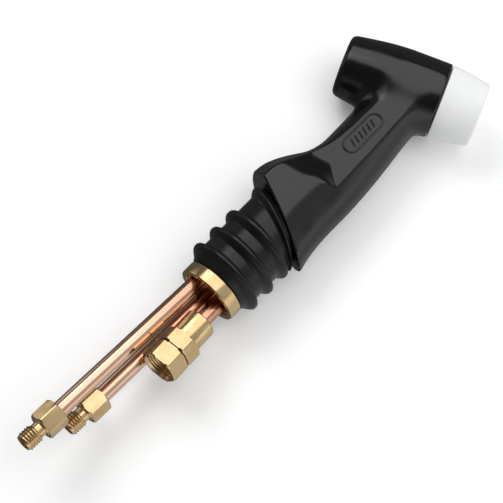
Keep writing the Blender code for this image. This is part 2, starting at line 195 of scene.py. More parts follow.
def along(start, direction):
    """Matrix that puts Z along direction at a point given in millimetres."""
    turn = Vector(direction).to_track_quat("Z", "Y").to_matrix().to_4x4()
    return Matrix.Translation(world(*start)) @ turn @ Matrix.Scale(MM, 4)


HEAD_PLACE = along((HEAD_X, 0.0, -HEAD_DROP), HEAD_DIRECTION)
HANDLE_PLACE = along((0.0, 0.0, 0.0), (1.0, 0.0, 0.0))
POWER_PLACE = along(POWER_PLATE, (1.0, *POWER_SLOPE))
GAS_PLACE = along(GAS_REAR, Vector(GAS_PLATE) - Vector(GAS_REAR))
WATER_PLACE = along(WATER_REAR, Vector(WATER_PLATE) - Vector(WATER_REAR))


def linked(name, data):
    """A new object in the scene's collection."""
    item = bpy.data.objects.new(name, data)
    bpy.context.scene.collection.objects.link(item)
    return item


def poly_curve(name, places, cyclic=False):
    """An object with one straight-segment curve through the places."""
    curve = bpy.data.curves.new(name, "CURVE")
    curve.dimensions = "3D"
    path = curve.splines.new("POLY")
    path.points.add(len(places) - 1)
    for point, place in zip(path.points, places):
        point.co = (*place, 1.0)
    path.use_cyclic_u = cyclic
    return linked(name, curve)


def quad_rows(rows, sides):
    """Quads between rows of points that each go once round, and from the last row back to the first."""
    faces = []
    for row in range(rows):
        here, after = row * sides, (row + 1) % rows * sides
        faces += [(here + i, here + (i + 1) % sides, after + (i + 1) % sides, after + i)
                  for i in range(sides)]
    return faces


def mesh_object(name, points, faces, place=None, sharp=38.0):
    """A smooth-shaded object at the origin from points in millimetres or, with place, local ones."""
    mesh = bpy.data.meshes.new(name)
    if place is None:
        points = [world(*point) for point in points]
    else:
        points = [place @ Vector(point) for point in points]
    mesh.from_pydata(points, [], faces)
    item = linked(name, mesh)
    tidy_normals(item, sharp)
    return item


def tidy_normals(item, sharp=38.0):
    """Join doubled points, face every face outward and shade smooth between sharp edges."""
    shape = bmesh.new()
    shape.from_mesh(item.data)
    bmesh.ops.remove_doubles(shape, verts=shape.verts, dist=WELD)
    bmesh.ops.recalc_face_normals(shape, faces=shape.faces)
    shape.to_mesh(item.data)
    shape.free()
    tidy_shading(item, sharp)


def tidy_shading(item, sharp=38.0):
    item.data.shade_smooth()
    item.data.set_sharp_from_angle(angle=math.radians(sharp))


def spun(name, rows, place, sides=96, sharp=38.0, angles=None):
    """A turned shape: rows of (height, radius), where a radius may be a function of the angle."""
    angles = angles or [math.tau * i / sides for i in range(sides)]
    sides = len(angles)
    points = []
    for height, radius in rows:
        for angle in angles:
            reach = radius(angle) if callable(radius) else radius
            points.append((reach * math.cos(angle), reach * math.sin(angle), height))
    return mesh_object(name, points, quad_rows(len(rows), sides), place, sharp)


def rounded(profile, radius, steps=5):
    """Replace each inner corner of a (height, radius) outline by an arc; corners keep their order."""
    result = []
    count = len(profile)
    for i, corner in enumerate(profile):
        here = Vector(corner)
        before = Vector(profile[i - 1]) - here
        after = Vector(profile[(i + 1) % count]) - here
        reach = min(radius, before.length * 0.45, after.length * 0.45)
        start = here + before.normalized() * reach
        end = here + after.normalized() * reach
        for k in range(steps + 1):
            share = k / steps
            blend = start.lerp(here, share).lerp(here.lerp(end, share), share)
            result.append((blend.x, blend.y))
    return result


def bake(item):
    """Turn the evaluated shape into the object's plain mesh."""
    graph = bpy.context.evaluated_depsgraph_get()
    mesh = bpy.data.meshes.new_from_object(item.evaluated_get(graph))
    item.modifiers.clear()
    old = item.data
    item.data = mesh
    bpy.data.meshes.remove(old)
    return item


def merged(name, *items):
    """One object out of several, which are removed."""
    shape = bmesh.new()
    for item in items:
        shape.from_mesh(item.data)
        bpy.data.objects.remove(item, do_unlink=True)
    mesh = bpy.data.meshes.new(name)
    shape.to_mesh(mesh)
    shape.free()
    return linked(name, mesh)


def finish_piece(item, body, slot, *replaces):
    """Give a piece its finish and its body, and hide the CAD nodes that it stands for."""
    item.data.materials.clear()
    item.data.materials.append(finish_of(slot))
    for node in replaces:
        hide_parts(node)
    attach(item, body)


# ---------------------------------------------------------------- materials

def colour(hex_value):
    """sRGB hex to linear RGBA."""
    channels = []
    for shift in (16, 8, 0):
        value = ((hex_value >> shift) & 255) / 255.0
        channels.append(value / 12.92 if value <= 0.04045 else ((value + 0.055) / 1.055) ** 2.4)
    return (*channels, 1.0)


def tinted(base, red, green, blue):
    """The base colour with its channels scaled, for the darker and lighter ends of a pattern."""
    return (base[0] * red, base[1] * green, base[2] * blue, 1.0)


def set_stops(elements, stops):
    """Give a colour ramp its (position, linear RGBA) stops."""
    while len(elements) < len(stops):
        elements.new(0.5)
    for element, (position, value) in zip(elements, stops):
        element.position = position
        element.color = value


def node(tree, kind, settings=None, links=None):
    """Add a node, set attributes, stops and socket values, and link sockets from (node, output) pairs."""
    made = tree.nodes.new(kind)
    for key, value in (settings or {}).items():
        if key == "Stops":
            set_stops(made.color_ramp.elements, value)
        elif isinstance(key, int) or key in made.inputs:
            made.inputs[key].default_value = value
        else:
            setattr(made, key, value)
    for key, (source, output) in (links or {}).items():
        tree.links.new(source.outputs[output], made.inputs[key])
    return made


def shader_material(name, base, roughness, metallic=0.0, ior=1.5):
    """A material with its Principled shader and Object coordinates, ready for patterns."""
    made = bpy.data.materials.new(name)
    made.use_nodes = True
    tree = made.node_tree
    shader = tree.nodes["Principled BSDF"]
    shader.inputs["Base Color"].default_value = base
    shader.inputs["Roughness"].default_value = roughness
    shader.inputs["Metallic"].default_value = metallic
    if not metallic:
        shader.inputs["IOR"].default_value = ior
    return made, tree, shader, node(tree, "ShaderNodeTexCoord")


def moulded_phenolic(base):
    """Compression-moulded phenolic: jet black, wet-looking gloss, a faint flow ripple and fine pores."""
    made, tree, shader, where = shader_material("moulded_phenolic_black", base, 0.16, ior=1.55)
    # flow ripple about 14 mm across, a few hundredths of a millimetre deep
    flow = node(tree, "ShaderNodeTexNoise", {"Scale": 70.0, "Detail": 2.0}, {"Vector": (where, "Object")})
    # moulding pores about 0.4 mm apart
    pores = node(tree, "ShaderNodeTexNoise", {"Scale": 2400.0, "Detail": 1.0}, {"Vector": (where, "Object")})
    rough = node(tree, "ShaderNodeMapRange",
                 {"From Min": 0.35, "From Max": 0.65, "To Min": 0.15, "To Max": 0.23},
                 {"Value": (flow, "Fac")})
    tree.links.new(rough.outputs["Result"], shader.inputs["Roughness"])
    fine = node(tree, "ShaderNodeBump", {"Strength": 0.05, "Distance": 0.00003}, {"Height": (pores, "Fac")})
    skin = node(tree, "ShaderNodeBump", {"Strength": 0.25, "Distance": 0.00025},
                {"Height": (flow, "Fac"), "Normal": (fine, "Normal")})
    tree.links.new(skin.outputs["Normal"], shader.inputs["Normal"])
    return made


def boot_rubber(base):
    """Moulded neoprene: satin black with a dry bloom in patches and a fine matt texture."""
    made, tree, shader, where = shader_material("moulded_neoprene_black", base, 0.27, ior=1.42)
    # bloom in patches about 6 mm across
    bloom = node(tree, "ShaderNodeTexNoise", {"Scale": 160.0, "Detail": 3.0}, {"Vector": (where, "Object")})
    tint = node(tree, "ShaderNodeValToRGB", {"Stops": (
        (0.35, tinted(base, 0.8, 0.8, 0.8)), (0.75, tinted(base, 1.4, 1.4, 1.4)))},
                {"Fac": (bloom, "Fac")})
    tree.links.new(tint.outputs["Color"], shader.inputs["Base Color"])
    rough = node(tree, "ShaderNodeMapRange",
                 {"From Min": 0.3, "From Max": 0.7, "To Min": 0.26, "To Max": 0.36},
                 {"Value": (bloom, "Fac")})
    tree.links.new(rough.outputs["Result"], shader.inputs["Roughness"])
    # matt grain 0.3 mm apart
    grain = node(tree, "ShaderNodeTexNoise", {"Scale": 3500.0, "Detail": 1.0}, {"Vector": (where, "Object")})
    relief = node(tree, "ShaderNodeBump", {"Strength": 0.12, "Distance": 0.00004}, {"Height": (grain, "Fac")})
    tree.links.new(relief.outputs["Normal"], shader.inputs["Normal"])
    return made


def turned_brass(base):
    """Free-cutting brass, turned and milled: pale gold, fine tool lines round it, faint tarnish clouds."""
    made, tree, shader, where = shader_material("turned_brass", base, 0.2, 1.0)
    # tarnish clouds about 4.5 mm across
    clouds = node(tree, "ShaderNodeTexNoise", {"Scale": 220.0, "Detail": 4.0}, {"Vector": (where, "Object")})
    tint = node(tree, "ShaderNodeValToRGB", {"Stops": ((0.3, tinted(base, 0.90, 0.85, 0.77)), (0.62, base))},
                {"Fac": (clouds, "Fac")})
    tree.links.new(tint.outputs["Color"], shader.inputs["Base Color"])
    rough = node(tree, "ShaderNodeMapRange",
                 {"From Min": 0.3, "From Max": 0.7, "To Min": 0.24, "To Max": 0.15},
                 {"Value": (clouds, "Fac")})
    tree.links.new(rough.outputs["Result"], shader.inputs["Roughness"])
    # tool lines 0.5 mm apart, coarser than the real 0.1 mm feed so that they show
    lines = node(tree, "ShaderNodeTexWave", {"wave_type": "BANDS", "bands_direction": "X", "Scale": 640.0,
                                             "Distortion": 0.4, "Detail": 1.0},
                 {"Vector": (where, "Object")})
    relief = node(tree, "ShaderNodeBump", {"Strength": 0.10, "Distance": 0.00003}, {"Height": (lines, "Fac")})
    tree.links.new(relief.outputs["Normal"], shader.inputs["Normal"])
    return made


def drawn_copper(base):
    """Drawn copper tube: salmon pink, bright, long draw marks, browner where it was brazed."""
    made, tree, shader, where = shader_material("drawn_copper", base, 0.16, 1.0)
    # draw marks 0.4 mm apart across the tube and 10 mm long
    stretch = node(tree, "ShaderNodeMapping", {"Scale": (0.04, 1.0, 1.0)}, {"Vector": (where, "Object")})
    marks = node(tree, "ShaderNodeTexNoise", {"Scale": 2600.0, "Detail": 2.0},
                 {"Vector": (stretch, "Vector")})
    place = node(tree, "ShaderNodeSeparateXYZ", links={"Vector": (where, "Object")})
    # the heat's edge wanders by up to a centimetre either way, in waves about 11 mm long
    wander = node(tree, "ShaderNodeTexNoise", {"Scale": 90.0, "Detail": 3.0}, {"Vector": (where, "Object")})
    shift = node(tree, "ShaderNodeMath", {"operation": "MULTIPLY_ADD", 1: 0.020, 2: -0.010},
                 {0: (wander, "Fac")})
    spot = node(tree, "ShaderNodeMath", {"operation": "ADD"}, {0: (place, "X"), 1: (shift, "Value")})
    span = node(tree, "ShaderNodeMapRange",
                {"From Min": -0.112, "From Max": -0.022, "To Min": 0.0, "To Max": 1.0},
                {"Value": (spot, "Value")})
    heat = node(tree, "ShaderNodeValToRGB", {"Stops": (
        (0.0, tinted(base, 0.86, 0.84, 0.78)), (0.18, base), (0.55, tinted(base, 1.04, 1.07, 1.06)),
        (0.86, tinted(base, 0.86, 0.74, 0.66)), (1.0, tinted(base, 0.56, 0.36, 0.28)))},
                {"Fac": (span, "Result")})
    tree.links.new(heat.outputs["Color"], shader.inputs["Base Color"])
    rough = node(tree, "ShaderNodeMapRange",
                 {"From Min": 0.3, "From Max": 0.7, "To Min": 0.12, "To Max": 0.24},
                 {"Value": (marks, "Fac")})
    tree.links.new(rough.outputs["Result"], shader.inputs["Roughness"])
    relief = node(tree, "ShaderNodeBump", {"Strength": 0.08, "Distance": 0.00003}, {"Height": (marks, "Fac")})
    tree.links.new(relief.outputs["Normal"], shader.inputs["Normal"])
    return made


def turned_ptfe(base):
    """Turned PTFE: waxy cool white, light spreads inside it, faint turning marks."""
    made, tree, shader, where = shader_material("turned_ptfe_white", base, 0.42, ior=1.38)
    shader.inputs["Subsurface Weight"].default_value = 0.25
    shader.inputs["Subsurface Radius"].default_value = (0.003, 0.003, 0.0028)
    shader.inputs["Subsurface Scale"].default_value = 1.0
    across = node(tree, "ShaderNodeMapping", {"Rotation": (0.0, 0.0, HEAD_ANGLE)},
                  {"Vector": (where, "Object")})
    # turning marks 0.8 mm apart along the head's axis, coarser than the real feed so that they show
    marks = node(tree, "ShaderNodeTexWave", {"wave_type": "BANDS", "bands_direction": "X", "Scale": 390.0,
                                             "Distortion": 0.3, "Detail": 1.0},
                 {"Vector": (across, "Vector")})
    relief = node(tree, "ShaderNodeBump", {"Strength": 0.06, "Distance": 0.00003}, {"Height": (marks, "Fac")})
    tree.links.new(relief.outputs["Normal"], shader.inputs["Normal"])
    # haze about 8 mm across
    haze = node(tree, "ShaderNodeTexNoise", {"Scale": 120.0, "Detail": 2.0}, {"Vector": (where, "Object")})
    tint = node(tree, "ShaderNodeValToRGB", {"Stops": ((0.3, tinted(base, 0.95, 0.96, 0.96)), (0.65, base))},
                {"Fac": (haze, "Fac")})
    tree.links.new(tint.outputs["Color"], shader.inputs["Base Color"])
    return made


def clouded(name, base, roughness, ior, scale):
    """A plain moulded or machined plastic with faint clouds in its colour and gloss."""
    made, tree, shader, where = shader_material(name, base, roughness, ior=ior)
    haze = node(tree, "ShaderNodeTexNoise", {"Scale": scale, "Detail": 2.0}, {"Vector": (where, "Object")})
    tint = node(tree, "ShaderNodeValToRGB", {"Stops": ((0.3, tinted(base, 0.88, 0.86, 0.82)), (0.7, base))},
                {"Fac": (haze, "Fac")})
    tree.links.new(tint.outputs["Color"], shader.inputs["Base Color"])
    rough = node(tree, "ShaderNodeMapRange",
                 {"From Min": 0.3, "From Max": 0.7, "To Min": roughness + 0.05, "To Max": roughness - 0.05},
                 {"Value": (haze, "Fac")})
    tree.links.new(rough.outputs["Result"], shader.inputs["Roughness"])
    return made


MADE = {}


def finish_of(slot):
    """The material for one of the finish slots, made the first time it is asked for."""
    if slot in MADE:
        return MADE[slot]
    tones = bpy.context.scene.torch_colours
    if slot == "moulded_black":
        made = moulded_phenolic(tuple(tones.moulding))
    elif slot == "black_rubber":
        made = boot_rubber(tuple(tones.boot))
    elif slot == "brass":
        made = turned_brass(tuple(tones.brass))
    elif slot == "copper":
        made = drawn_copper(tuple(tones.copper))
    elif slot == "white_ptfe":
        made = turned_ptfe(tuple(tones.gasket))
    elif slot == "natural_nylon":
        # machined natural nylon: cream, half matt, clouds about 2.5 mm across
        made = clouded("machined_natural_nylon", colour(0xD9D2BE), 0.48, 1.53, 400.0)
    else:
        # moulded silicone: brick red, matt, clouds about 2 mm across
        made = clouded("moulded_silicone_red", colour(0x9A2A1C), 0.5, 1.41, 500.0)
    MADE[slot] = made
    return made


# ---------------------------------------------------------------- geometry node trees

def new_tree(name, inputs):
    """A geometry node group with a geometry input and output and the named number inputs."""
    tree = bpy.data.node_groups.new(name, "GeometryNodeTree")
    tree.interface.new_socket("Geometry", in_out="INPUT", socket_type="NodeSocketGeometry")
    tree.interface.new_socket("Geometry", in_out="OUTPUT", socket_type="NodeSocketGeometry")
    for label, kind, value in inputs:
        socket = tree.interface.new_socket(label, in_out="INPUT", socket_type=kind)
        if value is not None:
            socket.default_value = value
    return tree, tree.nodes.new("NodeGroupInput"), tree.nodes.new("NodeGroupOutput")


def run_tree(item, tree, values):
    """Put the tree on the object, set inputs by identifier, and return the result as a plain mesh object."""
    step = item.modifiers.new(tree.name, "NODES")
    step.node_group = tree
    for socket in tree.interface.items_tree:
        if socket.name in values and socket.in_out == "INPUT":
            step[socket.identifier] = values[socket.name]
    graph = bpy.context.evaluated_depsgraph_get()
    mesh = bpy.data.meshes.new_from_object(item.evaluated_get(graph))
    name = item.name
    made = linked(name + "_made", mesh)
    bpy.data.objects.remove(item, do_unlink=True)
    made.name = name
    return made


def thread_tree():
    """A V ridge wound on a helix: radius, pitch, length, ridge size and the place where it starts."""
    tree, given, result = new_tree("Thread Ridge", (
        ("Radius", "NodeSocketFloat", 3.2), ("Turns", "NodeSocketFloat", 5.0),
        ("Length", "NodeSocketFloat", 5.0), ("Ridge", "NodeSocketFloat", 0.5),
        ("Start", "NodeSocketFloat", 0.0), ("Material", "NodeSocketMaterial", None)))
    helix = node(tree, "GeometryNodeCurveSpiral", {"Resolution": 40},
                 {"Rotations": (given, "Turns"), "Start Radius": (given, "Radius"),
                  "End Radius": (given, "Radius"), "Height": (given, "Length")})
    upright = node(tree, "GeometryNodeSetCurveNormal", {"mode": "Z_UP"}, {"Curve": (helix, "Curve")})
    profile = node(tree, "GeometryNodeCurvePrimitiveCircle", {"Resolution": 4},
                   {"Radius": (given, "Ridge")})
    ridge = node(tree, "GeometryNodeCurveToMesh", {"Fill Caps": True},
                 {"Curve": (upright, "Curve"), "Profile Curve": (profile, "Curve")})
    start = node(tree, "ShaderNodeCombineXYZ", links={"Z": (given, "Start")})
    moved = node(tree, "GeometryNodeTransform", links={"Geometry": (ridge, "Mesh"),
                                                       "Translation": (start, "Vector")})
    close_tree(tree, given, result, moved, "Geometry")
    return tree


def tube_tree():
    """The skin of a tube along the object's own curve: outside radius, sides and spacing of its rings."""
    tree, given, result = new_tree("Tube Along Path", (
        ("Radius", "NodeSocketFloat", 0.00325), ("Sides", "NodeSocketInt", 48),
        ("Spacing", "NodeSocketFloat", 0.002), ("Material", "NodeSocketMaterial", None)))
    even = node(tree, "GeometryNodeResampleCurve", {"mode": "LENGTH"},
                {"Curve": (given, "Geometry"), "Length": (given, "Spacing")})
    outline = node(tree, "GeometryNodeCurvePrimitiveCircle", links={"Resolution": (given, "Sides"),
                                                                    "Radius": (given, "Radius")})
    skin = node(tree, "GeometryNodeCurveToMesh", {"Fill Caps": False},
                {"Curve": (even, "Curve"), "Profile Curve": (outline, "Curve")})
    close_tree(tree, given, result, skin, "Mesh")
    return tree


def sleeve_tree():
    """Ribs on a plain sleeve: every pitch a rib with a long rear flank and a steep front one.

    The sleeve's points carry lean, the slope that slants each ring, and share, how tall its rib is.
    Lengths are in millimetres, with Z along the sleeve.
    """
    tree, given, result = new_tree("Ribbed Sleeve", (
        ("First Rib", "NodeSocketFloat", 10.9), ("Pitch", "NodeSocketFloat", 9.0),
        ("Height", "NodeSocketFloat", 2.4), ("Rear Flank", "NodeSocketFloat", 3.3),
        ("Front Flank", "NodeSocketFloat", 1.9), ("Crest", "NodeSocketFloat", 0.35),
        ("Material", "NodeSocketMaterial", None)))
    place = node(tree, "GeometryNodeInputPosition")
    axes = node(tree, "ShaderNodeSeparateXYZ", links={"Vector": (place, "Position")})
    past = node(tree, "ShaderNodeMath", {"operation": "SUBTRACT"}, {0: (axes, "Z"), 1: (given, "First Rib")})
    half = node(tree, "ShaderNodeMath", {"operation": "MULTIPLY", 1: 0.5}, {0: (given, "Pitch")})
    low = node(tree, "ShaderNodeMath", {"operation": "MULTIPLY", 1: -0.5}, {0: (given, "Pitch")})
    near = node(tree, "ShaderNodeMath", {"operation": "WRAP"},
                {0: (past, "Value"), 1: (half, "Value"), 2: (low, "Value")})
    rear_end = node(tree, "ShaderNodeMath", {"operation": "MULTIPLY", 1: -1.0}, {0: (given, "Rear Flank")})
    rear_top = node(tree, "ShaderNodeMath", {"operation": "MULTIPLY", 1: -1.0}, {0: (given, "Crest")})
    rear = node(tree, "ShaderNodeMapRange",
                {"interpolation_type": "SMOOTHSTEP", "To Min": 0.0, "To Max": 1.0},
                {"Value": (near, "Value"), "From Min": (rear_end, "Value"), "From Max": (rear_top, "Value")})
    front = node(tree, "ShaderNodeMapRange",
                 {"interpolation_type": "SMOOTHSTEP", "To Min": 1.0, "To Max": 0.0},
                 {"Value": (near, "Value"), "From Min": (given, "Crest"), "From Max": (given, "Front Flank")})
    rib = node(tree, "ShaderNodeMath", {"operation": "MINIMUM"}, {0: (rear, "Result"), 1: (front, "Result")})
    share = node(tree, "GeometryNodeInputNamedAttribute", {"data_type": "FLOAT", "Name": "share"})
    shared = node(tree, "ShaderNodeMath", {"operation": "MULTIPLY"},
                  {0: (rib, "Value"), 1: (share, "Attribute")})
    tall = node(tree, "ShaderNodeMath", {"operation": "MULTIPLY"},
                {0: (shared, "Value"), 1: (given, "Height")})
    flat = node(tree, "ShaderNodeCombineXYZ", links={"X": (axes, "X"), "Y": (axes, "Y")})
    out = node(tree, "ShaderNodeVectorMath", {"operation": "NORMALIZE"}, {0: (flat, "Vector")})
    push = node(tree, "ShaderNodeVectorMath", {"operation": "SCALE"},
                {0: (out, "Vector"), "Scale": (tall, "Value")})
    lean = node(tree, "GeometryNodeInputNamedAttribute", {"data_type": "FLOAT", "Name": "lean"})
    slide = node(tree, "ShaderNodeMath", {"operation": "MULTIPLY"}, {0: (axes, "X"), 1: (lean, "Attribute")})
    slant = node(tree, "ShaderNodeCombineXYZ", links={"Z": (slide, "Value")})
    both = node(tree, "ShaderNodeVectorMath", {"operation": "ADD"},
                {0: (push, "Vector"), 1: (slant, "Vector")})
    moved = node(tree, "GeometryNodeSetPosition", links={"Geometry": (given, "Geometry"),
                                                         "Offset": (both, "Vector")})
    close_tree(tree, given, result, moved, "Geometry")
    return tree


def badge_tree():
    """A raised outline with slanted bars in it: the object's curve is the outline, bars stand along X."""
    tree, given, result = new_tree("Raised Badge", (
        ("Bars", "NodeSocketInt", 5), ("Bar Spacing", "NodeSocketFloat", 2.4),
        ("Bar Length", "NodeSocketFloat", 3.0), ("Bar Slant", "NodeSocketFloat", 0.35),
        ("Width", "NodeSocketFloat", 0.42), ("Material", "NodeSocketMaterial", None)))
    round_profile = node(tree, "GeometryNodeCurvePrimitiveCircle", {"Resolution": 12},
                         {"Radius": (given, "Width")})
    outline = node(tree, "GeometryNodeCurveToMesh", {"Fill Caps": True},
                   {"Curve": (given, "Geometry"), "Profile Curve": (round_profile, "Curve")})
    half = node(tree, "ShaderNodeMath", {"operation": "MULTIPLY", 1: 0.5}, {0: (given, "Bar Length")})
    down = node(tree, "ShaderNodeMath", {"operation": "MULTIPLY", 1: -0.5}, {0: (given, "Bar Length")})
    tip = node(tree, "ShaderNodeCombineXYZ", links={"Y": (half, "Value")})
    foot = node(tree, "ShaderNodeCombineXYZ", links={"Y": (down, "Value")})
    line = node(tree, "GeometryNodeCurvePrimitiveLine", links={"Start": (foot, "Vector"),
                                                               "End": (tip, "Vector")})
    bar = node(tree, "GeometryNodeCurveToMesh", {"Fill Caps": True},
               {"Curve": (line, "Curve"), "Profile Curve": (round_profile, "Curve")})
    last = node(tree, "ShaderNodeMath", {"operation": "SUBTRACT", 1: 1.0}, {0: (given, "Bars")})
    run = node(tree, "ShaderNodeMath", {"operation": "MULTIPLY"},
               {0: (last, "Value"), 1: (given, "Bar Spacing")})
    begin = node(tree, "ShaderNodeMath", {"operation": "MULTIPLY", 1: -0.5}, {0: (run, "Value")})
    first = node(tree, "ShaderNodeCombineXYZ", links={"X": (begin, "Value")})
    step = node(tree, "ShaderNodeCombineXYZ", links={"X": (given, "Bar Spacing")})
    row = node(tree, "GeometryNodeMeshLine", links={
        "Count": (given, "Bars"), "Start Location": (first, "Vector"), "Offset": (step, "Vector")})
    turn = node(tree, "ShaderNodeCombineXYZ", links={"Z": (given, "Bar Slant")})
    bars = node(tree, "GeometryNodeInstanceOnPoints", links={
        "Points": (row, "Mesh"), "Instance": (bar, "Mesh"), "Rotation": (turn, "Vector")})
    both = node(tree, "GeometryNodeJoinGeometry", links={"Geometry": (outline, "Mesh")})
    tree.links.new(bars.outputs["Instances"], both.inputs["Geometry"])
    close_tree(tree, given, result, both, "Geometry")
    return tree


def close_tree(tree, given, result, last, output):
    """End a tree in Realize Instances and Set Material."""
    real = node(tree, "GeometryNodeRealizeInstances", links={"Geometry": (last, output)})
    painted = node(tree, "GeometryNodeSetMaterial", links={"Geometry": (real, "Geometry"),
                                                           "Material": (given, "Material")})
    tree.links.new(painted.outputs["Geometry"], result.inputs["Geometry"])


def wound_thread(name, place, radius, turns, length, ridge, start, material):
    """Thread ridge in local millimetres, moved to its place and given straight normals."""
    tree = bpy.data.node_groups.get("Thread Ridge") or thread_tree()
    made = run_tree(linked(name, bpy.data.meshes.new(name)), tree, {
        "Radius": radius, "Turns": turns, "Length": length, "Ridge": ridge, "Start": start,
        "Material": material})
    made.data.transform(place)
    tidy_normals(made, 30.0)
    return made


# ---------------------------------------------------------------- the moulding's form

def between(x, values):
    """Smooth curve through the stations' values (cubic, slopes from the neighbours)."""
    at = np.asarray(STATIONS, float)
    value = np.asarray(values, float)
    slope = np.gradient(value, at)
    x = np.clip(x, at[0], at[-1])
    index = np.clip(np.searchsorted(at, x) - 1, 0, len(at) - 2)
    width = at[index + 1] - at[index]
    share = (x - at[index]) / width
    return ((1 + 2 * share) * (1 - share) ** 2 * value[index]
            + share * (1 - share) ** 2 * width * slope[index]
            + share ** 2 * (3 - 2 * share) * value[index + 1]
            - share ** 2 * (1 - share) * width * slope[index + 1])


def soft_max(a, b, reach):
    share = np.clip(0.5 + 0.5 * (a - b) / reach, 0.0, 1.0)
    return b + (a - b) * share + reach * share * (1.0 - share)


def soft_min(a, b, reach):
    return -soft_max(-a, -b, reach)


def beyond(y, z, first, second):
    """Distance outside the line from first to second, with the solid on its right-hand side."""
    run_y = second[0] - first[0]
    run_z = second[1] - first[1]
    return (run_y * (z - first[1]) - run_z * (y - first[0])) / np.hypot(run_y, run_z)


def handle_form(x, y, z):
    """Below zero inside the handle: flat top, chamfer to +Y, long rounded slope to -Y, scooped neck."""
    up = np.sqrt(z * z + 0.01)
    station = x - between(x, SLOPES) * y
    left = between(station, LEFT)
    right = -between(station, RIGHT)
    flat = between(station, FLAT_LEFT)
    fold = between(station, FOLD)
    top = between(station, TOP)
    side = 4.0
    waist = np.clip((station - 58.0) / 18.0, 0.0, 1.0)
    knee = (right * 0.62 + fold * 0.38, top * 0.74)
    form = soft_max(up - top, -beyond(y, up, (left, side), (flat, top)), 0.9 + 4.2 * waist)
    form = soft_max(form, y - left, 1.6 + 4.0 * waist)
    slope = soft_max(-beyond(y, up, (fold, top), knee), -beyond(y, up, knee, (right, side)), 7.0)
    slope = soft_max(slope, right - y, 6.0)
    form = soft_max(form, slope, 2.4)
    # the scoop: a ramp down from a curved edge of the shoulder into the neck's flat facet
    edge = 54.9 + 0.15 * (12.5 - y) + 0.0055 * (12.5 - y) ** 2
    run = np.clip(12.8 + 1.15 * np.minimum(0.0, y), 4.0, 12.8)
    ramp_height = 4.2 * np.clip(1.0 - (x - edge) / run, 0.0, 2.0) ** 1.2
    form = soft_max(form, (up - FACET_Z - ramp_height) * 0.93, 0.7)
    rear = (SHOULDER_X + SLANT * y - x) / math.hypot(1.0, SLANT)
    return soft_max(form, rear, 0.8)


def head_measures(x, y, z):
    """Distance along the head's axis, across it in the plane of the torch, and out from it."""
    run = (x - HEAD_X) * HEAD_DIRECTION.x + y * HEAD_DIRECTION.y
    off = (x - HEAD_X) * -HEAD_DIRECTION.y + y * HEAD_DIRECTION.x
    return run, off, np.sqrt(off * off + (z + HEAD_DROP) ** 2 + 1e-6)


def moulding_form(points):
    """Below zero inside the whole moulding, filled; points are in millimetres."""
    x, y, z = points[..., 0], points[..., 1], points[..., 2]
    run, off, reach = head_measures(x, y, z)
    share = np.clip((run - HEAD_REAR - 2.6) / (HEAD_FRONT - HEAD_REAR - 2.6), -0.1, 0.625)
    swell = HEAD_REAR_R + (HEAD_R - HEAD_REAR_R) * np.sin(share * 1.6 * math.pi / 2.0)
    barrel = soft_max(reach - swell, HEAD_REAR - run, 2.6)
    handle = soft_max(handle_form(x, y, z), off - 2.0, 1.0)
    form = soft_min(barrel, handle, 5.5)
    return soft_max(form, run - HEAD_FRONT, 0.9)


def skin_of(form, low, high, cell):
    """Closed quad skin where form is zero: one point in each mixed cell, then pulled onto the form."""
    axes = [np.arange(a, b + cell, cell) for a, b in zip(low, high)]
    grid = np.stack(np.meshgrid(*axes, indexing="ij"), -1)
    value = form(grid)
    inside = value < 0.0
    shape = tuple(size - 1 for size in value.shape)
    total = np.zeros((*shape, 3))
    hits = np.zeros(shape)
    for axis in range(3):
        others = [a for a in range(3) if a != axis]
        for step in ((0, 0), (0, 1), (1, 0), (1, 1)):
            first = [slice(0, size) for size in shape]
            for other, move in zip(others, step):
                first[other] = slice(move, move + shape[other])
            second = list(first)
            second[axis] = slice(1, 1 + shape[axis])
            first, second = tuple(first), tuple(second)
            crossed = inside[first] != inside[second]
            a, b = value[first], value[second]
            share = np.where(crossed, a / np.where(crossed, a - b, 1.0), 0.0)
            place = grid[first] + share[..., None] * (grid[second] - grid[first])
            total += place * crossed[..., None]
            hits += crossed
    used = hits > 0
    number = np.full(shape, -1)
    number[used] = np.arange(used.sum())
    points = total[used] / hits[used][:, None]
    faces = []
    for axis in range(3):
        first = [slice(1, size) for size in shape]
        first[axis] = slice(0, shape[axis])
        second = list(first)
        second[axis] = slice(1, 1 + shape[axis])
        crossed = inside[tuple(first)] != inside[tuple(second)]
        spot = np.argwhere(crossed)
        offset = np.ones(3, int)
        offset[axis] = 0
        spot = spot + offset
        leaves = inside[tuple(first)][crossed]
        one, two = [np.eye(3, dtype=int)[(axis + k) % 3] for k in (1, 2)]
        ring = [number[tuple((spot - shift).T)] for shift in (one + two, two, 0 * one, one)]
        quads = np.stack(ring, 1)
        quads[~leaves] = quads[~leaves][:, ::-1]
        faces.append(quads)
    nudge = 0.04
    for _ in range(4):
        here = form(points)
        slope = np.stack([(form(points + nudge * e) - form(points - nudge * e)) / (2.0 * nudge)
                          for e in np.eye(3)], -1)
        size = np.maximum((slope ** 2).sum(-1), 0.2)
        points = points - np.clip(here / size, -cell, cell)[:, None] * slope
    return points, np.concatenate(faces)


def with_bores(points):
    """The moulding's form with its bores: boot socket, neck, head bore and back cap hole."""
    x, y, z = points[..., 0], points[..., 1], points[..., 2]
    run, _, reach = head_measures(x, y, z)
    socket = np.maximum(np.hypot(y, z) - SOCKET_R, x - SOCKET_END)
    neck = np.maximum(np.hypot(y - NECK_BORE_Y, z) - NECK_BORE_R, np.maximum(x - 118.0, 50.0 - x))
    bore = np.maximum(reach - HEAD_BORE_R, HEAD_STEP - run)
    hole = np.maximum(reach - REAR_HOLE_R, run)
    hollow = np.minimum(np.minimum(socket, neck), np.minimum(bore, hole))
    return soft_max(moulding_form(points), -hollow, 0.35)


# ---------------------------------------------------------------- turned and milled shapes

